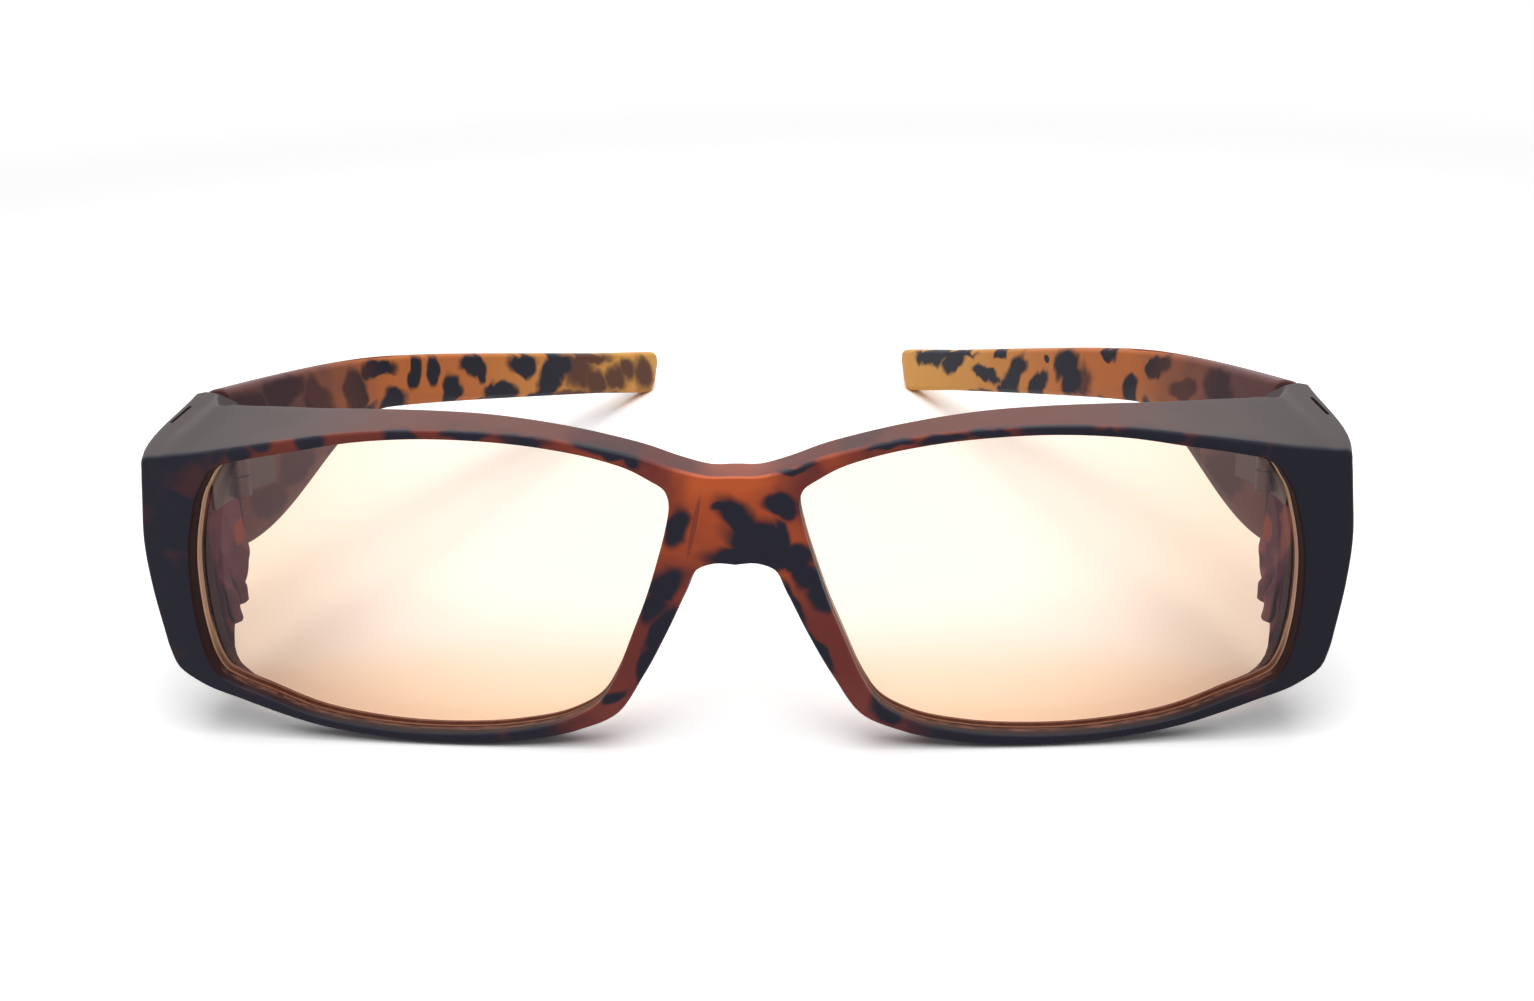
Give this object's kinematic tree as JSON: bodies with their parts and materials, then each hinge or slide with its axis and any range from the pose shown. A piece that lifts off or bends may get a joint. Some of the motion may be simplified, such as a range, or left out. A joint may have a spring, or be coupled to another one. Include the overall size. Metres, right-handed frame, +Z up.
{
  "type": "computer reading glasses",
  "caption": "Wear-over computer reading glasses: deep mottled front with a brow shelf and side returns, amber lenses and folding temples, standing open on a table.",
  "frame": {"origin": "centre of the bounding box's underside, on the table top on which the opened glasses stand", "axes": "+Z up; the wearer looks along -Y; the wearer's left side is at +X and the temples reach back along +Y"},
  "size_m": [0.1514, 0.1526, 0.041],
  "materials": {
    "front": "satin, mottled brown and navy black",
    "lens": "clear, light amber tint with a reflection-reducing coat",
    "temple": "gloss, mottled amber and dark brown",
    "hinge_metal": "satin"
  },
  "bodies": {
    "front": {"front_frame": "front", "lens_right": "lens", "lens_left": "lens", "hinge_front_leaf_right": "hinge_metal", "hinge_front_leaf_left": "hinge_metal", "hinge_screw_right": "hinge_metal", "hinge_screw_left": "hinge_metal"},
    "temple_right": {"temple_right": "temple", "hinge_temple_leaf_right": "hinge_metal"},
    "temple_left": {"temple_left": "temple", "hinge_temple_leaf_left": "hinge_metal"}
  },
  "joints": [
    {"name": "fold_left", "type": "hinge", "parent": "front", "child": "temple_left", "pos_m": [0.06942, -0.05097, 0.02907], "axis": [0, 0.1219, 0.9925], "range_deg": [-10.5, 74]},
    {"name": "fold_right", "type": "hinge", "parent": "front", "child": "temple_right", "pos_m": [-0.06942, -0.05097, 0.02907], "axis": [0, -0.1219, -0.9925], "range_deg": [-10.5, 63]}
  ]
}
